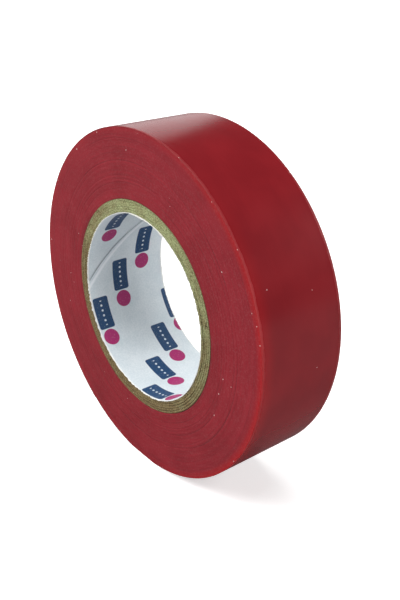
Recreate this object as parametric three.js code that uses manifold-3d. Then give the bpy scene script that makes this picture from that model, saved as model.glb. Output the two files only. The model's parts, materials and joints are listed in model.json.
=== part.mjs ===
// A roll of 19 mm electrical tape, standing on its rim.
// The part's origin is the centre of the core's bore, half way across the width.
// The bore runs along Y, and +Z is up. All sizes are in millimetres.
//
// The roll is a spiral-wound board core, lined with printed paper, and one long strip of PVC tape.
// The inner turns of the strip are one solid. The last turn lies on them, and its free end is a row
// of short links, each hinged to the one before, that peels off the roll.
import * as THREE from "three";
import { mergeVertices } from "three/addons/utils/BufferGeometryUtils.js";
import Module from "manifold-3d";

const wasm = await Module();
wasm.setup();

// Driving dimensions.
const TAPE_WIDTH = 19;
const ROLL_RADIUS = 35.25; // over the tape's free end, where the spiral is largest
const BORE_RADIUS = 19;
const CORE_RADIUS = 21.7; // the core's outside
const TURN_PITCH = 0.12; // film and adhesive of one turn, as wound
const LINER_THICKNESS = 0.12;
const BOARD_PLIES = 5;
const GLUE_GAP = 0.02; // between one layer and the next
const FOOT_HEIGHT = 34.95; // from the centre down to the flat that the soft rim is pressed to

// The last turn and its free end.
const SEGMENTS = 96; // flats round the rim, one of them straight down
const END_STATION = 63; // the free end is low on the far side
const TAIL_LINKS = 8;
const LINK_STATIONS = 4; // flats in one link
const HINGE_SLIT = 0.05; // between two links

// The seams of the core's strips run round the bore as they cross its width.
const SEAM_TURN_DEG = -65; // from the front face to the back one
const BUTT_GAP = 0.25; // between the two edges of a board ply
const LINER_LAP = 1; // how far the liner's edge laps over itself
const LINER_SEAM_DEG = 152; // where each seam crosses the middle of the width
const PLY_SEAM_STEP_DEG = 137;
const SEAM_STEPS = 14;

const HALF_WIDTH = TAPE_WIDTH / 2;
const STATION_DEG = 360 / SEGMENTS;
const FILM = TURN_PITCH - GLUE_GAP;
const LINER_OUTSIDE = BORE_RADIUS + LINER_THICKNESS;
const PLY_PITCH = (CORE_RADIUS - LINER_OUTSIDE) / BOARD_PLIES;
const ROOT_STATION = END_STATION - TAIL_LINKS * LINK_STATIONS;

// The surfaces' colours and finishes.
const film = new THREE.MeshStandardMaterial({ color: 0x8a1c22, roughness: 0.3, metalness: 0 });
const filmEdges = new THREE.MeshStandardMaterial({ color: 0x9a3038, roughness: 0.55, metalness: 0 });
const board = new THREE.MeshStandardMaterial({ color: 0x8a8058, roughness: 0.95, metalness: 0 });
const paper = new THREE.MeshStandardMaterial({ color: 0xc9d0d6, roughness: 0.6, metalness: 0 });

const radians = (degrees) => (degrees * Math.PI) / 180;

// A point of an outline, in the plane across the bore: x to the right and y up.
function polar(radius, degrees) {
  return new THREE.Vector2(
    radius * Math.cos(radians(degrees)),
    radius * Math.sin(radians(degrees)),
  );
}

// The angle of a vertex of the rim. Vertices are half a flat off the axes.
const stationDeg = (station) => (station + 0.5) * STATION_DEG;

// The outer radius of the last turn. It grows by one turn's thickness up to the free end.
function spiralRadius(station) {
  return ROLL_RADIUS - (TURN_PITCH * (END_STATION - station)) / SEGMENTS;
}

// A point of the last turn, inset from its outside. Where the roll stands, the turn lies flat.
function rimPoint(station, inset) {
  const point = polar(spiralRadius(station) - inset, stationDeg(station));
  point.y = Math.max(point.y, inset - FOOT_HEIGHT);
  return point;
}

function circle(radius) {
  return Array.from({ length: SEGMENTS }, (_, station) => polar(radius, stationDeg(station)));
}

// Extrudes an outline across the tape's width, with its plane turned upright.
function acrossTheWidth(outline, hole) {
  const shape = new THREE.Shape(outline);
  if (hole) shape.holes.push(new THREE.Path(hole));
  return new THREE.ExtrudeGeometry(shape, { depth: TAPE_WIDTH, bevelEnabled: false, steps: 1 })
    .translate(0, 0, -HALF_WIDTH)
    .rotateX(Math.PI / 2);
}

// A three.js geometry as a manifold-3d solid, and back.
function solidOf(geometry) {
  const bare = new THREE.BufferGeometry();
  bare.setAttribute("position", geometry.getAttribute("position"));
  if (geometry.index) bare.setIndex(geometry.index);
  const merged = mergeVertices(bare, 1e-4);
  return new wasm.Manifold(
    new wasm.Mesh({
      numProp: 3,
      vertProperties: merged.getAttribute("position").array,
      triVerts: new Uint32Array(merged.index.array),
    }),
  );
}

function geometryOf(solid) {
  const mesh = solid.getMesh();
  const geometry = new THREE.BufferGeometry();
  geometry.setAttribute("position", new THREE.BufferAttribute(mesh.vertProperties, 3));
  geometry.setIndex(new THREE.BufferAttribute(mesh.triVerts, 1));
  geometry.computeVertexNormals();
  return geometry;
}

// A band along a seam. It runs round the bore as it crosses the width, and it passes through
// the core's wall. It is width long round the bore, and centred on middleDeg at y = 0.
function seamBand(width, middleDeg) {
  const inside = BORE_RADIUS - 1;
  const outside = CORE_RADIUS + 1;
  const half = THREE.MathUtils.radToDeg(width / 2 / BORE_RADIUS);
  const positions = [];
  for (let step = 0; step <= SEAM_STEPS; step++) {
    const y = (HALF_WIDTH + 1) * ((2 * step) / SEAM_STEPS - 1);
    const at = middleDeg + (SEAM_TURN_DEG * y) / TAPE_WIDTH;
    const corners = [
      polar(inside, at - half),
      polar(outside, at - half),
      polar(outside, at + half),
      polar(inside, at + half),
    ];
    for (const corner of corners) positions.push(corner.x, y, corner.y);
  }
  const faces = [0, 1, 2, 0, 2, 3];
  const last = 4 * SEAM_STEPS;
  faces.push(last, last + 2, last + 1, last, last + 3, last + 2);
  for (let step = 0; step < SEAM_STEPS; step++) {
    for (let side = 0; side < 4; side++) {
      const a = 4 * step + side;
      const b = 4 * step + ((side + 1) % 4);
      faces.push(a, a + 4, b, b, a + 4, b + 4);
    }
  }
  const geometry = new THREE.BufferGeometry();
  geometry.setAttribute("position", new THREE.Float32BufferAttribute(positions, 3));
  geometry.setIndex(faces);
  return solidOf(geometry);
}

function piece(name, geometry, material) {
  const mesh = new THREE.Mesh(geometry, material);
  mesh.name = name;
  return mesh;
}

function ring(insideRadius, outsideRadius) {
  return solidOf(acrossTheWidth(circle(outsideRadius), circle(insideRadius)));
}

// The printed paper inside the core. Its edge laps over itself along one slanting seam.
function printedLiner() {
  const sheet = ring(BORE_RADIUS, LINER_OUTSIDE);
  const twoSheets = ring(BORE_RADIUS - LINER_THICKNESS, LINER_OUTSIDE);
  const lap = twoSheets.intersect(seamBand(LINER_LAP, LINER_SEAM_DEG));
  return piece("printed_liner", geometryOf(sheet.add(lap)), paper);
}

// One ply of board: a ring whose two edges almost meet along a slanting seam.
function boardPly(number) {
  const outside = LINER_OUTSIDE + number * PLY_PITCH;
  const inside = outside - PLY_PITCH + GLUE_GAP;
  const slit = seamBand(BUTT_GAP, LINER_SEAM_DEG + number * PLY_SEAM_STEP_DEG);
  return piece(`core_ply_${number}`, geometryOf(ring(inside, outside).subtract(slit)), board);
}

// Every turn of the strip but the last. Its outside is a spiral with one step, at the free end.
function innerTurns() {
  const outline = [];
  for (let step = 0; step <= SEGMENTS; step++) {
    const station = END_STATION - SEGMENTS + step;
    outline.push(rimPoint(station, TURN_PITCH));
  }
  return piece(
    "inner_turns",
    acrossTheWidth(outline, circle(CORE_RADIUS + GLUE_GAP)),
    filmEdges,
  );
}

// A stretch of the last turn, from one rim vertex to another, shortened a little at its ends.
function lastTurnStretch(from, to, startSlit, endSlit) {
  const outer = [];
  const inner = [];
  for (let station = from; station <= to; station++) {
    outer.push(rimPoint(station, 0));
    inner.push(rimPoint(station, FILM));
  }
  for (const side of [outer, inner]) {
    const flat = side[0].distanceTo(side[1]);
    side[0].lerp(side[1], startSlit / flat);
    side[side.length - 1].lerp(side[side.length - 2], endSlit / flat);
  }
  return acrossTheWidth([...outer, ...inner.reverse()]);
}

// The part of the last turn that stays stuck to the roll.
function lastTurn() {
  const start = END_STATION - SEGMENTS;
  return piece(
    "last_turn",
    lastTurnStretch(start, ROOT_STATION, HINGE_SLIT, HINGE_SLIT / 2),
    film,
  );
}

// One link of the free end.
function tailLink(number) {
  const from = ROOT_STATION + (number - 1) * LINK_STATIONS;
  const endSlit = number === TAIL_LINKS ? 0 : HINGE_SLIT / 2;
  return piece(
    `tail_link_${number}`,
    lastTurnStretch(from, from + LINK_STATIONS, HINGE_SLIT / 2, endSlit),
    film,
  );
}

const core = new THREE.Group();
core.add(printedLiner());
for (let number = 1; number <= BOARD_PLIES; number++) core.add(boardPly(number));

const tape = new THREE.Group();
tape.add(innerTurns(), lastTurn());
for (let number = 1; number <= TAIL_LINKS; number++) tape.add(tailLink(number));

const roll = new THREE.Group();
roll.add(core, tape);

export default roll;
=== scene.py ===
"""The looks of a roll of red electrical tape. Lengths are in metres, in the CAD model's frame:
the bore runs along Y, +Z is up, and an angle on the roll is measured from +X towards +Z."""

import json
import math

import bpy
import numpy as np
from mathutils import Matrix, Vector

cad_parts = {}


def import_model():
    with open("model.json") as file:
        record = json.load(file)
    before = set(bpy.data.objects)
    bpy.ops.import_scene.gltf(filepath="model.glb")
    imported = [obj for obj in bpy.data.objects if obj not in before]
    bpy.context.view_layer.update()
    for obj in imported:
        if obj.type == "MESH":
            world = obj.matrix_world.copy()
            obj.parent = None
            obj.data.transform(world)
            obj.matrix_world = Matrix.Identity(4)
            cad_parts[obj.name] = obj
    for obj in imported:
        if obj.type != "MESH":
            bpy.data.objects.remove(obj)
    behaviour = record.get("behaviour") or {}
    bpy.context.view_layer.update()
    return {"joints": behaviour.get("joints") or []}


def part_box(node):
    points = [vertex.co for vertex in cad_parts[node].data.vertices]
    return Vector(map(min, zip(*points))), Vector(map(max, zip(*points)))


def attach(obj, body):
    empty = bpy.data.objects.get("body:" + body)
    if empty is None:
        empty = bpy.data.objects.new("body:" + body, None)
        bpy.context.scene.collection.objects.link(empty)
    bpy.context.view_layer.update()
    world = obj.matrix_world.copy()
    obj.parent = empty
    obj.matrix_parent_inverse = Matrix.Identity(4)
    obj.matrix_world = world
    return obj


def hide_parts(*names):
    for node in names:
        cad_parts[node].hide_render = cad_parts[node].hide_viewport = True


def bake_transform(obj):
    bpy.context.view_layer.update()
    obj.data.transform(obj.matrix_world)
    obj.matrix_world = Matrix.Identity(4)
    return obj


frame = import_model()
MM = 0.001
RNG = np.random.default_rng(41)

# ---------------------------------------------------------------- sizes, from the CAD nodes
HALF_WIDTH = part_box("inner_turns")[1].y
PAPER_THICKNESS = 0.12 * MM
PLY_THICKNESS = 0.5 * MM
BORE_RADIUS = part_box("core_ply_1")[1].x - PLY_THICKNESS - PAPER_THICKNESS
TURN = 0.12 * MM  # one turn of the strip, film and adhesive
FILM = 0.1 * MM
HINGES = [Vector(joint["pos_m"]) for joint in frame["joints"]]
HINGE_DEG = [math.degrees(math.atan2(h.z, h.x)) % 360 for h in HINGES]
LINK_DEG = HINGE_DEG[1] - HINGE_DEG[0]
FREE_END_DEG = HINGE_DEG[-1] + LINK_DEG
FREE_END_RADIUS = math.hypot(HINGES[-1].x, HINGES[-1].z) + TURN * LINK_DEG / 360
FOOT = -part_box("last_turn")[0].z  # the flat that the rim stands on is this far below the centre
CORE_RADIUS = 21.72 * MM
PLY_PITCH = (CORE_RADIUS - BORE_RADIUS - PAPER_THICKNESS) / 5
LINER_SEAM_DEG = 152
SEAM_SLOPE = -65 / 19 / MM  # degrees round the bore for each metre towards +Y


def spiral(deg):
    """The outer radius of the last turn."""
    return FREE_END_RADIUS - TURN * (FREE_END_DEG - deg) / 360


def place(radius, deg, y, inset=0.0):
    """Points on the roll, kept above the foot's flat. The inset is from the roll's outside."""
    angle = np.radians(deg)
    x, z = radius * np.cos(angle), radius * np.sin(angle)
    near_rim = radius > FOOT - 1.5 * MM
    z = np.where(near_rim, np.maximum(z, inset - FOOT), z)
    return np.stack(np.broadcast_arrays(x, y, z), -1)


# ---------------------------------------------------------------- smooth noise for shapes
def wave_noise(*coordinates, octaves=5, scale=1.0):
    """Smooth noise, about -1 to 1, as a sum of seeded sine waves over the coordinates."""
    total = 0.0
    for octave in range(octaves):
        frequency = scale * 1.7**octave
        direction = RNG.normal(size=len(coordinates))
        phase = RNG.uniform(0, 2 * math.pi)
        wave = sum(d * c for d, c in zip(direction, coordinates))
        total = total + np.sin(frequency * wave + phase) / 1.35**octave
    return total / 2.2


def ring_noise(count, keep):
    """One value for each step round a closed ring, smoothed with a share keep of its neighbour."""
    values = RNG.normal(size=count)
    for _ in range(2):
        for i in range(-20, count):
            values[i] = keep * values[i - 1] + math.sqrt(1 - keep * keep) * values[i]
    return values / values.std()


# ---------------------------------------------------------------- meshes
def make_mesh(name, points, quads, extra=(), smooth=True, materials=()):
    mesh = bpy.data.meshes.new(name)
    mesh.from_pydata(points, [], [*quads, *extra])
    mesh.validate()
    mesh.polygons.foreach_set("use_smooth", [smooth] * len(mesh.polygons))
    piece = bpy.data.objects.new(name, mesh)
    bpy.context.scene.collection.objects.link(piece)
    for material in materials:
        mesh.materials.append(material)
    return piece


def grid_quads(rows, columns, wrap_rows, wrap_columns, start=0):
    """Faces of a grid whose points are numbered row by row."""
    r = np.arange(rows if wrap_rows else rows - 1)
    c = np.arange(columns if wrap_columns else columns - 1)
    r, c = np.meshgrid(r, c, indexing="ij")
    r2, c2 = (r + 1) % rows, (c + 1) % columns
    corners = [r * columns + c, r * columns + c2, r2 * columns + c2, r2 * columns + c]
    return (np.stack(corners, -1).reshape(-1, 4) + start).tolist()


def swept(name, sections, closed, materials, mark=None):
    """A solid swept round the roll. sections is [step, section point, xyz]; each section is a loop,
    and the ends are closed by faces that join the loop's two halves unless the sweep is closed."""
    steps, loop = sections.shape[:2]
    quads = grid_quads(steps, loop, closed, True)
    caps = []
    if not closed:
        half = loop // 2
        for base, turn_over in ((0, False), ((steps - 1) * loop, True)):
            for j in range(half - 1):
                face = [base + j, base + j + 1, base + loop - 2 - j, base + loop - 1 - j]
                caps.append(face[::-1] if turn_over else face)
    piece = make_mesh(name, sections.reshape(-1, 3).tolist(), quads, caps, True, materials)
    if mark is not None:
        slots = np.zeros(len(piece.data.polygons), int)
        slots[: len(quads)] = np.tile(mark, steps if closed else steps - 1)
        piece.data.polygons.foreach_set("material_index", slots)
    return piece


def sharpen(piece, degrees):
    piece.data.set_sharp_from_angle(angle=math.radians(degrees))


# ---------------------------------------------------------------- shader nodes
class Graph:
    """A material's nodes, with arithmetic on sockets written as Python expressions."""

    def __init__(self, name):
        self.material = bpy.data.materials.new(name)
        self.material.use_nodes = True
        self.tree = self.material.node_tree
        self.tree.nodes.clear()
        self.shader = self.node("ShaderNodeBsdfPrincipled")
        out = self.node("ShaderNodeOutputMaterial")
        self.tree.links.new(self.shader.outputs[0], out.inputs[0])
        self.object = self.node("ShaderNodeTexCoord").outputs["Object"]
        parts = self.node("ShaderNodeSeparateXYZ", Vector=self.object)
        x, self.y, z = (Value(self, parts.outputs[k]) for k in "XYZ")
        self.radius = self.math("SQRT", x * x + z * z)
        self.angle = self.math("ARCTAN2", z, x)
        self.cos, self.sin = x / self.radius, z / self.radius

    def node(self, kind, **inputs):
        made = self.tree.nodes.new(kind)
        for key, value in inputs.items():
            self.set(made.inputs[key.replace("_", " ")], value)
        return made

    def set(self, socket, value):
        if isinstance(value, Value):
            value = value.socket
        if isinstance(value, bpy.types.NodeSocket):
            self.tree.links.new(value, socket)
        else:
            socket.default_value = value

    def math(self, operation, *values, clamp=False):
        made = self.node("ShaderNodeMath")
        made.operation, made.use_clamp = operation, clamp
        for socket, value in zip(made.inputs, values):
            self.set(socket, value)
        return Value(self, made.outputs[0])

    def vector(self, x, y, z):
        return self.node("ShaderNodeCombineXYZ", X=x, Y=y, Z=z).outputs[0]

    def noise(self, vector, scale, detail=3.0, roughness=0.55):
        made = self.node("ShaderNodeTexNoise", Scale=scale, Detail=detail, Roughness=roughness)
        self.set(made.inputs["Vector"], vector)
        return Value(self, made.outputs["Fac"])

    def cells(self, vector, scale):
        """Voronoi cells: the distance to the nearest point, and a random value for each cell."""
        made = self.node("ShaderNodeTexVoronoi", Scale=scale)
        self.set(made.inputs["Vector"], vector)
        split = self.node("ShaderNodeSeparateColor", Color=made.outputs["Color"])
        return Value(self, made.outputs["Distance"]), Value(self, split.outputs[0])

    def ramp(self, value, low, high, to_low=0.0, to_high=1.0):
        made = self.node("ShaderNodeMapRange", Value=value)
        made.interpolation_type = "SMOOTHSTEP"
        ends = (low, high, to_low, to_high)
        for key, end in zip(("From Min", "From Max", "To Min", "To Max"), ends):
            self.set(made.inputs[key], end)
        return Value(self, made.outputs[0])

    def mix(self, share, first, second):
        made = self.node("ShaderNodeMix")
        made.data_type = "RGBA"
        for socket, value in zip((made.inputs[0], made.inputs[6], made.inputs[7]),
                                 (share, first, second)):
            if isinstance(value, tuple):
                value = (*value, 1.0)
            self.set(socket, value)
        return made.outputs[2]

    def bump(self, height, distance, strength=1.0):
        made = self.node("ShaderNodeBump", Height=height, Distance=distance, Strength=strength)
        self.set(self.shader.inputs["Normal"], made.outputs[0])

    def finish(self, color, roughness, **uniform):
        self.set(self.shader.inputs["Base Color"], color)
        self.set(self.shader.inputs["Roughness"], roughness)
        for key, value in uniform.items():
            self.shader.inputs[key.replace("_", " ")].default_value = value
        return self.material


class Value:
    """A number socket that takes part in arithmetic."""

    def __init__(self, graph, socket):
        self.graph, self.socket = graph, socket

    def __add__(self, other):
        return self.graph.math("ADD", self, other)

    def __sub__(self, other):
        return self.graph.math("SUBTRACT", self, other)

    def __rsub__(self, other):
        return self.graph.math("SUBTRACT", other, self)

    def __mul__(self, other):
        return self.graph.math("MULTIPLY", self, other)

    def __truediv__(self, other):
        return self.graph.math("DIVIDE", self, other)

    __radd__, __rmul__ = __add__, __mul__

    def abs(self):
        return self.graph.math("ABSOLUTE", self)

    def at_least(self, other):
        return self.graph.math("MAXIMUM", self, other)

    def at_most(self, other):
        return self.graph.math("MINIMUM", self, other)

    def wrap(self, low, high):
        return self.graph.math("WRAP", self, high, low)


def srgb(red, green, blue):
    """A colour given as it looks on a screen, 0 to 255, as the shader's linear one."""
    def linear(v):
        v /= 255
        return v / 12.92 if v <= 0.04045 else ((v + 0.055) / 1.055) ** 2.4
    return tuple(linear(v) for v in (red, green, blue))


# ---------------------------------------------------------------- materials
FILM_RED = srgb(130, 20, 28)
FILM_DEEP = srgb(122, 18, 26)
# The next colour is a painted glow: brighter red that stands in for light coming through the film's
# edges.
PAINTED_GLOW_RED = srgb(172, 18, 24)
EDGE_ROSE = srgb(156, 36, 48)
EDGE_DARK = srgb(126, 24, 34)
EDGE_LINE = srgb(92, 22, 30)
DUST = srgb(232, 205, 200)

# Radii in mm of the lines that stand out on the side face, with their widths and strengths.
RING_LINES = [
    (21.74, 0.14, 1.6), (22.15, 0.16, 0.5), (23.7, 0.1, 0.55), (24.9, 0.09, 0.6),
    (25.5, 0.09, 0.45), (26.2, 0.12, 0.6), (28.2, 0.1, 0.5), (29.0, 0.14, 0.75),
    (31.6, 0.08, 0.3), (33.1, 0.08, 0.3),
]


def dust_specks(g, amount):
    """Where fine white dust lies: a few small dots, up to 1."""
    distance, pick = g.cells(g.object, 1 / (1.1 * MM))
    size = g.ramp(pick / amount, 0.0, 1.0, 0.16, 0.05)
    dot = g.ramp(distance / size, 0.6, 1.0, 1.0, 0.0)
    return dot * g.ramp(pick / amount, 1.0, 0.9)


def film_material():
    """The glossy vinyl: faint lines along the strip, and a painted glow of brighter red along its
    edges, strongest by the front edge and away from the top of the roll, which stands in for light
    leaking in at the edges.
    """
    g = Graph("film")
    edge = HALF_WIDTH - g.y.abs()
    clouds = g.noise(g.object, 1 / (9 * MM), 2.0)
    streaks = g.noise(g.vector(g.cos * 2, g.y / MM * 1.6, g.sin * 2), 1.0, 3.0)
    color = g.mix(g.ramp(clouds * 0.85 + streaks * 0.15, 0.36, 0.64), FILM_DEEP, FILM_RED)
    # Painted glow: a band along both edges and a wider halo by the front edge are coloured brighter
    # red, fading towards the top of the roll, in place of light coming through the film.
    patches = g.noise(g.object, 1 / (1.6 * MM), 3.0)
    glow = g.ramp(edge + (patches - 0.5) * (0.5 * MM), 0.62 * MM, 0.0)
    below_top = g.ramp(g.sin, 0.95, 0.2)
    painted_halo = g.ramp(g.y + HALF_WIDTH, 3.5 * MM, 0.0) * below_top
    color = g.mix(painted_halo * 0.4, color, PAINTED_GLOW_RED)
    painted_glow_share = g.ramp(g.y, HALF_WIDTH, 0.0, 0.25, 0.85) * (below_top * 0.7 + 0.3)
    color = g.mix(glow * painted_glow_share, color, PAINTED_GLOW_RED)
    color = g.mix(dust_specks(g, glow * 0.7 + 0.012), color, DUST)
    grain = g.noise(g.object, 1 / (0.5 * MM), 3.0)
    long_waves = g.noise(g.vector(g.cos * 5, g.y / MM * 0.35, g.sin * 5), 1.0, 2.0)
    g.bump(grain * 0.04 + long_waves + streaks * 0.1, 0.04 * MM, 0.5)
    rough = clouds * 0.1 + glow * 0.3 + 0.2
    return g.finish(color, rough, IOR=1.5)


def wound_material():
    """The slit edges of the turns: satin rose red, with a line for each turn and darker bands."""
    g = Graph("wound_film")
    turn = g.radius / TURN - g.angle / (2 * math.pi)
    fine = g.noise(g.vector(turn * 0.55, g.cos * 1.5, g.sin * 1.5), 1.0, 2.0)
    bands = g.noise(g.vector(turn * 0.07, g.cos * 0.8, g.sin * 0.8), 1.0, 4.0)
    fibres = g.noise(g.vector(turn * 1.9, g.cos * 14, g.sin * 14), 1.0, 1.0)
    clouds = g.noise(g.object, 1 / (7 * MM), 3.0)
    shade = g.ramp(fine * 0.3 + bands * 0.2 + fibres * 0.2 + clouds * 0.3, 0.3, 0.7)
    color = g.mix(shade, EDGE_DARK, EDGE_ROSE)
    dark_line = 0.0
    for order, (radius, width, strength) in enumerate(RING_LINES):
        off = (g.radius - radius * MM + (clouds - 0.5) * (0.12 * MM)).abs()
        part = g.ramp(g.noise(g.vector(g.cos, g.sin, order * 3.7), 1.6, 3.0), 0.4, 0.62)
        dark_line = g.ramp(off, width * MM, 0.0) * part * strength + dark_line
    color = g.mix(dark_line.at_most(1.0), color, EDGE_LINE)
    # Painted glow: the face is brighter red near the outer rim, most on the right side of the roll and
    # least on the left, in place of light coming through the film's edges.
    rim = g.ramp(g.radius + (fine - 0.5) * (0.8 * MM), 33.4 * MM, 35.2 * MM)
    color = g.mix(rim * g.ramp(g.cos, 0.0, 0.9, 0.15, 0.85), color, PAINTED_GLOW_RED)
    powder = g.noise(g.object, 1 / (0.3 * MM), 2.0, 0.7)
    color = g.mix(g.ramp(powder, 0.45, 0.85) * 0.06, color, DUST)
    color = g.mix(dust_specks(g, rim * 0.55 + 0.07), color, DUST)
    g.bump(fine * 0.6 + fibres * 0.4, 0.02 * MM, 0.5)
    return g.finish(color, g.ramp(fine, 0.3, 0.7, 0.5, 0.62), IOR=1.35)


def adhesive_material():
    """The film's sticky side: the same red under a dull, slightly uneven coat."""
    g = Graph("adhesive")
    pull = g.noise(g.vector(g.cos * 40, g.y / MM * 0.5, g.sin * 40), 1.0, 4.0)
    clouds = g.noise(g.object, 1 / (3 * MM), 3.0)
    color = g.mix(g.ramp(pull * 0.5 + clouds * 0.5, 0.35, 0.65), srgb(104, 16, 24), srgb(126, 30, 38))
    g.bump(pull + clouds * 0.5, 0.03 * MM, 0.6)
    return g.finish(color, g.ramp(clouds, 0.3, 0.7, 0.38, 0.5), IOR=1.48)


def board_material():
    """Olive-brown chipboard: fibres and specks, with broken dark lines where the plies meet."""
    g = Graph("board")
    fibres = g.noise(g.vector(g.radius / MM * 5, g.cos * 60, g.sin * 60), 1.0, 3.0)
    specks = g.noise(g.object, 1 / (0.22 * MM), 3.0, 0.65)
    clouds = g.noise(g.object, 1 / (2.2 * MM), 3.0)
    stain = g.ramp(clouds + g.sin * 0.3 - g.cos.abs() * 0.13 + g.cos * 0.12, 0.12, 0.95)
    dark = g.mix(stain, srgb(88, 70, 44), srgb(116, 118, 72))
    pale = g.mix(stain, srgb(152, 134, 92), srgb(184, 192, 144))
    color = g.mix(g.ramp(fibres * 0.35 + specks * 0.65, 0.38, 0.62), dark, pale)
    distance, pick = g.cells(g.object, 1 / (0.42 * MM))
    fleck = g.ramp(distance, 0.34, 0.12) * g.ramp(pick, 0.24, 0.2)
    color = g.mix(fleck * 0.8, color, srgb(58, 44, 32))
    chip = g.ramp(distance, 0.3, 0.1) * g.ramp(pick, 0.84, 0.88)
    color = g.mix(chip * 0.7, color, srgb(208, 202, 168))
    depth = (g.radius - (BORE_RADIUS + PAPER_THICKNESS)) / PLY_PITCH + (specks - 0.5) * 0.35
    between = (depth - g.math("ROUND", depth)).abs()
    parted = g.noise(g.vector(g.cos * 5, g.sin * 5, depth * 1.3), 1.0, 4.0)
    crack = g.ramp(between, 0.14, 0.02) * g.ramp(parted + (g.cos - g.sin) * 0.08, 0.5, 0.66)
    color = g.mix(crack * 0.75, color, srgb(50, 38, 22))
    rim = g.ramp(g.radius + (clouds - 0.5) * (0.5 * MM), CORE_RADIUS - 0.3 * MM, CORE_RADIUS)
    color = g.mix(rim * 0.55, color, srgb(64, 44, 26))
    g.bump(specks + fibres * 0.6 - crack, 0.08 * MM, 0.9)
    return g.finish(color, g.ramp(specks, 0.3, 0.7, 0.85, 0.97), IOR=1.4)


PRINT_BLUE = srgb(28, 66, 106)
PRINT_MAGENTA = srgb(168, 38, 104)
PAPER = srgb(228, 235, 238)
PAPER_EDGE = srgb(246, 246, 242)
LAP_HALF_DEG = 1.5  # the lap reaches this far to each side of its middle
PRINT_PITCH_DEG = 72.6  # from one mark to the next along a row
PRINT_ROW = 5.85 * MM  # from one row to the next along the bore
PRINT_SHIFT_DEG = 21.9  # how far each row lags the one before
FIRST_BAR_Y, FIRST_BAR_DEG = 4.3 * MM, 162.4  # the middle of one bar
ASTRAY_Y, ASTRAY_DEG = 2.0 * MM, 2.4  # how far the print has strayed, once round the bore
BAR_LENGTH, BAR_WIDTH, BAR_CORNER = 7.0 * MM, 3.7 * MM, 0.5 * MM
PEG_PITCH, PEG_RADIUS, PEGS_REACH = 1.1 * MM, 0.24 * MM, 2.75 * MM  # the small white dots in a bar
DISC_OFFSET, DISC_RADIUS = 5.5 * MM, 1.8 * MM


def rounded_box(g, along, across, length, width, corner):
    """Less than 0 inside a rounded rectangle, in metres from its edge outside."""
    u = (along.abs() - (length / 2 - corner)).at_least(0.0)
    v = (across.abs() - (width / 2 - corner)).at_least(0.0)
    return g.math("SQRT", u * u + v * v) - corner


def liner_material():
    """Bluish white paper, printed with a plain repeat of blue bars and magenta discs."""
    g = Graph("printed_paper")
    degrees = g.angle * (180 / math.pi)
    seam = LINER_SEAM_DEG + g.y * SEAM_SLOPE
    since_seam = (degrees - seam).wrap(-LAP_HALF_DEG, 360.0 - LAP_HALF_DEG)
    astray = g.ramp(since_seam, 150, 300)
    print_y = g.y - astray * ASTRAY_Y - FIRST_BAR_Y
    row = g.math("ROUND", print_y / PRINT_ROW)
    across = print_y - row * PRINT_ROW
    lag = since_seam + seam + astray * ASTRAY_DEG - FIRST_BAR_DEG + row * PRINT_SHIFT_DEG
    along = lag.wrap(-PRINT_PITCH_DEG / 2, PRINT_PITCH_DEG / 2) * math.radians(BORE_RADIUS)
    soft = 0.05 * MM

    def ink(distance):
        return g.ramp(distance, soft, -soft)

    bar = ink(rounded_box(g, along, across, BAR_LENGTH, BAR_WIDTH, BAR_CORNER))
    peg = (along + PEG_PITCH / 2).wrap(-PEG_PITCH / 2, PEG_PITCH / 2)
    pegs = ink(g.math("SQRT", peg * peg + across * across) - PEG_RADIUS)
    pegs = pegs * g.ramp(along.abs(), PEGS_REACH, PEGS_REACH - soft)
    disc_at = along - DISC_OFFSET
    disc = ink(g.math("SQRT", disc_at * disc_at + across * across) - DISC_RADIUS)
    fibres = g.noise(g.object, 1 / (0.35 * MM), 4.0, 0.6)
    clouds = g.noise(g.object, 1 / (5 * MM), 2.0)
    paper = g.mix(g.ramp(fibres * 0.6 + clouds * 0.4, 0.3, 0.7), srgb(208, 219, 224), PAPER)
    # Painted highlight: a paler band where the sheet slopes down past the lap.
    painted_ridge_highlight = g.ramp((since_seam - 2 * LAP_HALF_DEG).abs(), 2.4, 0.8)
    paper = g.mix(painted_ridge_highlight * 0.7, paper, srgb(244, 247, 250))
    wear = g.ramp(fibres, 0.25, 0.45, 0.82, 1.0)
    color = g.mix(bar * wear, paper, PRINT_BLUE)
    color = g.mix(pegs, color, paper)
    color = g.mix(disc * wear, color, PRINT_MAGENTA)
    # Painted shadow: a grey line along the lap's cut edge.
    cut_edge_shadow = g.ramp(since_seam + LAP_HALF_DEG, 1.1, 0.1) * 0.85
    color = g.mix(cut_edge_shadow, color, srgb(92, 96, 102))
    end = HALF_WIDTH - g.y.abs()
    color = g.mix(g.ramp(end + (fibres - 0.5) * (0.4 * MM), 0.22 * MM, 0.05 * MM), color, PAPER_EDGE)
    g.bump(fibres * 0.5 + clouds, 0.03 * MM, 0.5)
    return g.finish(color, g.ramp(clouds, 0.3, 0.7, 0.42, 0.55), IOR=1.45)


FILM_LOOK = film_material()
WOUND_LOOK = wound_material()
ADHESIVE_LOOK = adhesive_material()
BOARD_LOOK = board_material()
LINER_LOOK = liner_material()


# ---------------------------------------------------------------- the wound turns
TURN_ROWS = 111
TURN_STEPS = 200
GROOVE_DEPTH = 0.016 * MM  # between one turn and the next


def turn_heights():
    """How far each turn's edge stands out, in metres. Most sit level, and some bands are telescoped."""
    heights = 0.35 * ring_noise(TURN_ROWS + 3, 0.3) + 0.65 * ring_noise(TURN_ROWS + 3, 0.9)
    heights *= 0.011 * MM
    radii = CORE_RADIUS / MM + np.arange(TURN_ROWS + 3) * TURN / MM
    for radius, _, strength in RING_LINES:
        heights -= 0.05 * MM * strength * np.exp(-(((radii - radius) / 0.11) ** 2))
    return np.clip(heights, -0.08 * MM, 0.03 * MM)


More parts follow.
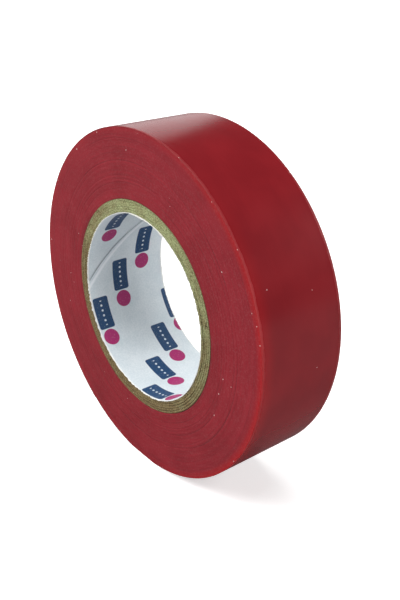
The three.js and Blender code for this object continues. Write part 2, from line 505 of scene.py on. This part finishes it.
def wound_turns():
    """A solid whose two sides have one groove between each turn and the next, along a true spiral."""
    half_rows = 2 * TURN_ROWS
    steps = np.arange(TURN_STEPS + 1)
    deg = FREE_END_DEG - 360 + 360 * steps / TURN_STEPS
    outside = spiral(deg) - TURN
    rows = np.arange(half_rows + 1)[:, None]
    radius = outside[None, :] - TURN * (half_rows - rows) / 2
    radius = np.maximum(radius, CORE_RADIUS + 0.012 * MM * rows)
    radius[0] = CORE_RADIUS
    inset = TURN + TURN * (half_rows - rows) / 2
    cos, sin = np.cos(np.radians(deg))[None, :], np.sin(np.radians(deg))[None, :]
    sides = []
    for side in (-1, 1):
        heights = turn_heights()
        turn = rows / 2 + steps[None, :] / TURN_STEPS
        base = np.interp(turn, np.arange(len(heights)), heights)
        base = base + 0.006 * MM * wave_noise(turn * 0.13, cos * 2, sin * 2)
        groove = np.where(rows % 2 == 0, GROOVE_DEPTH, 0.0)
        groove[[0, -1]] = 0.0
        y = side * (HALF_WIDTH + base - groove)
        sides.append((place(radius, deg[None, :], y, inset), side))

    points, index = [], {}
    quads = []
    for which, (grid, _) in enumerate(sides):
        for row in range(half_rows + 1):
            for step in range(TURN_STEPS + 1):
                shared = step == TURN_STEPS and row + 2 <= half_rows and row > 0
                if shared or (row == 0 and step == TURN_STEPS):
                    continue
                index[which, row, step] = len(points)
                points.append(grid[row, step])
    def number(which, row, step):
        if step == TURN_STEPS:
            if row == 0:
                return index[which, 0, 0]
            if row + 2 <= half_rows:
                return index[which, row + 2, 0]
        return index[which, row, step]
    for which, (_, side) in enumerate(sides):
        for row in range(half_rows):
            for step in range(TURN_STEPS):
                face = [number(which, row, step), number(which, row, step + 1),
                        number(which, row + 1, step + 1), number(which, row + 1, step)]
                quads.append(face if side < 0 else face[::-1])
        # the fan that closes the spiral's start against the core
        fan = [number(which, 0, 0), number(which, 1, 0), number(which, 2, 0), number(which, 3, 0)]
        quads.append(fan if side < 0 else fan[::-1])
    for row in (0, half_rows):
        for step in range(TURN_STEPS):
            face = [number(0, row, step), number(0, row, step + 1),
                    number(1, row, step + 1), number(1, row, step)]
            quads.append(face if row == 0 else face[::-1])
    step_edge = []
    for which in (0, 1):
        step_edge.append([number(which, half_rows, 0), index[which, half_rows - 1, TURN_STEPS],
                          index[which, half_rows, TURN_STEPS]])
    a, b = step_edge
    quads.append([a[0], a[1], b[1], b[0]])
    quads.append([a[1], a[2], b[2], b[1]])
    piece = make_mesh("wound_turns", [tuple(p) for p in points], quads, (), True,
                      [WOUND_LOOK, FILM_LOOK])
    rim_faces = range(len(quads) - 2 - TURN_STEPS, len(quads))
    for face in rim_faces:
        piece.data.polygons[face].material_index = 1
    return piece


wound = wound_turns()
sharpen(wound, 50)
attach(wound, "roll")
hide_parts("inner_turns")


# ---------------------------------------------------------------- the last turn and its free end
FILM_ROWS = 24
EDGE_ROUND = 0.022 * MM


def film_section():
    """Points round the film's section: across the outside and back along the sticky side."""
    corner = EDGE_ROUND
    flat = np.linspace(-HALF_WIDTH + corner, HALF_WIDTH - corner, FILM_ROWS)
    flat[1], flat[-2] = flat[0] + 0.08 * MM, flat[-1] - 0.08 * MM
    y = np.concatenate([[-HALF_WIDTH], flat, [HALF_WIDTH]])
    inset = np.concatenate([[corner], np.zeros(FILM_ROWS), [corner]])
    back_y = y[::-1]
    back_inset = np.concatenate([[FILM - corner], np.full(FILM_ROWS, FILM), [FILM - corner]])
    return np.concatenate([y, back_y]), np.concatenate([inset, back_inset])


def film_strip(name, from_deg, to_deg, step_deg=1.0):
    count = max(2, round((to_deg - from_deg) / step_deg) + 1)
    deg = np.linspace(from_deg, to_deg, count)[:, None]
    y, inset = film_section()
    radius = spiral(deg) - inset[None, :]
    sections = place(radius, deg, y[None, :], inset[None, :])
    loop = len(y)
    mark = np.array([1 if loop // 2 < j < loop - 1 else 0 for j in range(loop)])
    piece = swept(name, sections, False, [FILM_LOOK, ADHESIVE_LOOK], mark)
    sharpen(piece, 50)
    return piece


# A piece with its hinge in the middle would curve evenly if its share of the turn rose steadily, from a
# quarter at one end to three quarters at the other, the first piece starting flat on the roll. The
# limits are worked out below but not applied to the pieces.
QUARTER_RISE = 0.5 - math.sin(math.radians(10))  # where a smooth step has risen by a quarter


def bend_limits(hinge, before):
    """Where the turn at a hinge starts and ends. before is the share passed where the piece starts."""
    angle = math.radians(hinge)
    middle = Vector((math.cos(angle), 0, math.sin(angle))) * spiral(hinge)
    along = Vector((-math.sin(angle), 0, math.cos(angle)))
    half_piece = spiral(hinge) * math.sin(math.radians(LINK_DEG / 2))
    span = 2 * half_piece / (1 - QUARTER_RISE - before)
    start = middle - along * (half_piece + before * span)
    return start, start + along * span


first_bend = HINGE_DEG[0] - LINK_DEG / 2
last_turn = film_strip("last_turn_film", FREE_END_DEG - 360 + 0.1, first_bend)
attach(last_turn, "roll")
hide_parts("last_turn")

for number, hinge in enumerate(HINGE_DEG, 1):
    is_last = number == len(HINGE_DEG)
    start, end = hinge - LINK_DEG / 2, hinge + LINK_DEG / 2
    strip = film_strip(f"tail_film_{number}", start, FREE_END_DEG if is_last else end, 0.75)
    bend_start, bend_end = bend_limits(hinge, 0.0 if number == 1 else QUARTER_RISE)
    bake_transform(strip)
    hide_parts(f"tail_link_{number}")


# ---------------------------------------------------------------- the board core
PLY_STEPS = 540
PLY_Y_ROWS = 12
PLY_RIM_ROWS = 6  # points across a ply's thickness
PLY_GAP = 0.25 * MM  # between a ply's two cut edges
PLY_SEAM_STEP_DEG = 137  # from one ply's seam to the next one's


def board_ply(number):
    low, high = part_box(f"core_ply_{number}")
    outside = (high.x - low.x) / 2
    inside = outside - PLY_THICKNESS
    gap_deg = math.degrees(PLY_GAP / BORE_RADIUS)
    seam_mid = LINER_SEAM_DEG + PLY_SEAM_STEP_DEG * number
    along = np.linspace(0, 1, PLY_STEPS)[:, None]
    # the section's loop: out along the front end, back along the outside, and so on
    rims = np.linspace(inside, outside, PLY_RIM_ROWS)
    ys = np.linspace(-HALF_WIDTH, HALF_WIDTH, PLY_Y_ROWS)
    radii = np.concatenate([rims, np.full(PLY_Y_ROWS - 2, outside), rims[::-1],
                            np.full(PLY_Y_ROWS - 2, inside)])
    y = np.concatenate([np.full(PLY_RIM_ROWS, -HALF_WIDTH), ys[1:-1],
                        np.full(PLY_RIM_ROWS, HALF_WIDTH), ys[-2:0:-1]])
    on_end = np.abs(y) > HALF_WIDTH - 1e-9
    deg = seam_mid + y[None, :] * SEAM_SLOPE + gap_deg / 2 + along * (360 - gap_deg)
    angle = np.radians(deg)
    # the cut ends are fibrous, and each ply's edges are rounded over
    fibre = wave_noise(np.cos(angle) * 90, np.sin(angle) * 90, radii[None, :] / MM * 3, octaves=4)
    slow = wave_noise(np.cos(angle) * 3, np.sin(angle) * 3, np.full_like(angle, number * 9.0),
                      octaves=4)
    middle = 1 - (np.abs(radii - (inside + outside) / 2) / (PLY_THICKNESS / 2))
    worn = (0.05 + 0.05 * slow) * np.clip(1 - middle, 0, 1)[None, :] ** 2
    depth = (0.03 * fibre + 0.03 * slow + worn) * MM
    y_all = np.where(on_end[None, :], y[None, :] - np.sign(y)[None, :] * np.abs(depth), y[None, :])
    # the plies part a little from each other at the ends
    near_end = np.clip((np.abs(y) - (HALF_WIDTH - 1.5 * MM)) / (1.5 * MM), 0, 1) ** 2
    part = 0.03 * MM * near_end[None, :] * np.clip(slow, 0, 1)
    shrink = np.where(radii > (inside + outside) / 2, -1.0, 1.0)[None, :]
    radius = radii[None, :] + shrink * part
    xyz = np.broadcast_arrays(radius * np.cos(angle), y_all, radius * np.sin(angle))
    sections = np.stack(xyz, -1)
    steps, loop = sections.shape[:2]
    quads = grid_quads(steps, loop, False, True)
    caps = []
    # the two cut edges at the seam
    for base, turn_over in ((0, False), ((steps - 1) * loop, True)):
        edge = [base + j for j in range(loop)]
        caps.append(edge if turn_over else edge[::-1])
    piece = make_mesh(f"board_ply_{number}", sections.reshape(-1, 3).tolist(), quads, caps, True,
                      [BOARD_LOOK])
    sharpen(piece, 60)
    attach(piece, "roll")
    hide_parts(f"core_ply_{number}")


for ply_number in range(1, 6):
    board_ply(ply_number)


# ---------------------------------------------------------------- the printed liner
LINER_STEPS = 500
SHEET_THICKNESS = 0.1 * MM
LAP_SLOPE_DEG = 3.6  # past the lap, until the sheet lies level again


def liner_sheet():
    """A thin tube whose edge laps over itself, with a cut edge on one side and a slope on the other."""
    # angles past the seam's middle: the cut edge comes first, and the sheet slopes down past the lap
    cut = LAP_HALF_DEG
    level = cut + LAP_SLOPE_DEG
    fine = np.array([-cut, -cut + 0.05, -cut + 0.3, -0.6, 0.0, 0.6, cut - 0.3,
                     cut + 0.1, cut + 0.7, cut + 1.3, cut + 2.0, cut + 2.8, level])
    round_rest = np.linspace(level + 0.7, 360 - cut - 0.12, LINER_STEPS)
    past = np.concatenate([fine, round_rest])
    rise = np.clip((level - past) / LAP_SLOPE_DEG, 0, 1)
    lift = SHEET_THICKNESS * rise * rise * (3 - 2 * rise)
    ys = np.concatenate([np.linspace(-HALF_WIDTH, -HALF_WIDTH + 0.8 * MM, 4),
                         np.linspace(-HALF_WIDTH + 1.8 * MM, HALF_WIDTH - 1.8 * MM, 14),
                         np.linspace(HALF_WIDTH - 0.8 * MM, HALF_WIDTH, 4)])
    inside, outside = BORE_RADIUS, BORE_RADIUS + SHEET_THICKNESS
    loop_y = np.concatenate([ys, ys[::-1]])
    is_inside = np.concatenate([np.ones(len(ys)), np.zeros(len(ys))]) > 0
    deg = LINER_SEAM_DEG + loop_y[None, :] * SEAM_SLOPE + past[:, None]
    angle = np.radians(deg)
    cos, sin, zero = np.cos(angle), np.sin(angle), np.zeros_like(angle)
    fray = 0.2 * wave_noise(cos * 55, sin * 55, zero, octaves=5)
    fray += 0.05 * wave_noise(cos * 9, sin * 9, zero, octaves=3)
    at_end = (np.abs(loop_y) > HALF_WIDTH - 0.5 * MM)[None, :]
    y = loop_y[None, :] + np.where(at_end, np.sign(loop_y)[None, :] * (0.1 + fray) * MM, 0.0)
    ripple = 0.025 * MM * wave_noise(cos * 4, sin * 4, loop_y[None, :] / MM * 0.25, octaves=3)
    lean = np.clip((np.abs(loop_y) - (HALF_WIDTH - 1 * MM)) / MM, 0, 1)[None, :] ** 2
    lean = lean * 0.12 * MM * np.clip(wave_noise(cos * 3, sin * 3, zero), 0, 1)
    radius = np.where(is_inside[None, :], inside - lift[:, None], outside) + ripple * 0.5 - lean
    sections = np.stack([radius * cos, y, radius * sin], -1)
    piece = swept("liner_sheet", sections, True, [LINER_LOOK])
    sharpen(piece, 40)
    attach(piece, "roll")
    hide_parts("printed_liner")


liner_sheet()


# ---------------------------------------------------------------- floor, light and camera
ROOM_LIGHT = 0.07
FLOOR_BOUNCE = 0.42  # how pale the floor is to the roll, which is less than to the camera
FLOOR_MIRRORED = 0.2  # and how pale it is in the roll's glossy film
FLOOR_SIZE = 6.0


def floor():
    """A wide pale sheet. To the camera it glows, and more so away from the roll and its lamps."""
    g = Graph("floor_paper")
    mottle = g.noise(g.object, 3.0, 2.0)
    color = g.mix(g.ramp(mottle, 0.3, 0.7), (0.86, 0.86, 0.86), (0.88, 0.88, 0.88))
    away = g.node("ShaderNodeVectorMath", Vector=g.object)
    away.operation = "LENGTH"
    rays = g.node("ShaderNodeLightPath").outputs
    seen, mirrored = rays["Is Camera Ray"], rays["Is Glossy Ray"]
    g.set(g.shader.inputs["Emission Color"], (1, 1, 1, 1))
    glow = (g.ramp(away.outputs["Value"], 0.5, 2.5) + 0.5) * Value(g, seen)
    g.set(g.shader.inputs["Emission Strength"], glow)
    bounce = g.mix(mirrored, (FLOOR_BOUNCE,) * 3, (FLOOR_MIRRORED,) * 3)
    color = g.mix(seen, bounce, color)
    look = g.finish(color, 0.9, IOR=1.3)
    corners = [(x * FLOOR_SIZE, y * FLOOR_SIZE, -FOOT) for x, y in ((-1, -1), (1, -1), (1, 1), (-1, 1))]
    piece = make_mesh("floor", corners, [[0, 1, 2, 3]], (), False, [look])


def soft_light(name, azimuth, elevation, distance, size, power):
    """A square lamp that faces the roll. Azimuth 0 is in front of the roll, and 90 on its right."""
    flat, high = math.radians(azimuth), math.radians(elevation)
    away = Vector((math.sin(flat) * math.cos(high), -math.cos(flat) * math.cos(high), math.sin(high)))
    data = bpy.data.lights.new(name, "AREA")
    data.shape, data.size, data.size_y = "RECTANGLE", size[0], size[1]
    data.energy = power
    light = bpy.data.objects.new(name, data)
    light.location = away * distance
    light.rotation_euler = away.to_track_quat("Z", "Y").to_euler()
    bpy.context.scene.collection.objects.link(light)


def world():
    """A dim room that looks white to the camera."""
    made = bpy.data.worlds.new("studio")
    bpy.context.scene.world = made
    made.use_nodes = True
    nodes, links = made.node_tree.nodes, made.node_tree.links
    rays = nodes.new("ShaderNodeLightPath")
    strength = nodes.new("ShaderNodeMapRange")
    strength.inputs["To Min"].default_value = ROOM_LIGHT
    links.new(rays.outputs["Is Camera Ray"], strength.inputs["Value"])
    links.new(strength.outputs[0], nodes["Background"].inputs["Strength"])
    nodes["Background"].inputs["Color"].default_value = (1, 1, 1, 1)


floor()
soft_light("overhead_lamp", 0, 90, 3.0, (2.4, 2.4), 52)
soft_light("front_lamp", -30, 40, 1.0, (0.5, 0.5), 9.9)
soft_light("right_lamp", 94, 4, 1.0, (0.4, 0.4), 5.7)
soft_light("back_lamp", 172, 12, 1.0, (0.4, 0.3), 8.1)
soft_light("left_panel", -116, 18, 0.95, (0.5, 0.6), 0.9)
world()
bpy.context.scene.view_settings.view_transform = "Standard"


CAMERA_AZIMUTH, CAMERA_ELEVATION = 52.569, 25.371  # degrees, as seen from the bore's centre
CAMERA_TURNED, CAMERA_TIPPED = 1.549, 0.303  # degrees that it looks off that centre
CAMERA_DISTANCE = 162.51 * MM
CAMERA_LENS = 48.153  # mm, on a 36 mm sensor


def camera():
    azimuth, elevation = math.radians(CAMERA_AZIMUTH), math.radians(CAMERA_ELEVATION)
    turned, tipped = math.radians(CAMERA_TURNED), math.radians(CAMERA_TIPPED)
    back = Vector((math.sin(azimuth) * math.cos(elevation),
                   -math.cos(azimuth) * math.cos(elevation), math.sin(elevation)))
    right = Vector((math.cos(azimuth), math.sin(azimuth), 0))
    axes = Matrix((right, back.cross(right), back)).transposed()
    local = Matrix.Rotation(tipped, 3, "X") @ Matrix.Rotation(turned, 3, "Y")
    data = bpy.data.cameras.new("camera")
    data.sensor_width, data.lens = 36, CAMERA_LENS
    data.clip_start, data.clip_end = 0.01, 20
    view = bpy.data.objects.new("camera", data)
    turn = (axes @ local.transposed()).to_4x4()
    view.matrix_world = Matrix.Translation(back * CAMERA_DISTANCE) @ turn
    bpy.context.scene.collection.objects.link(view)
    bpy.context.scene.camera = view


camera()
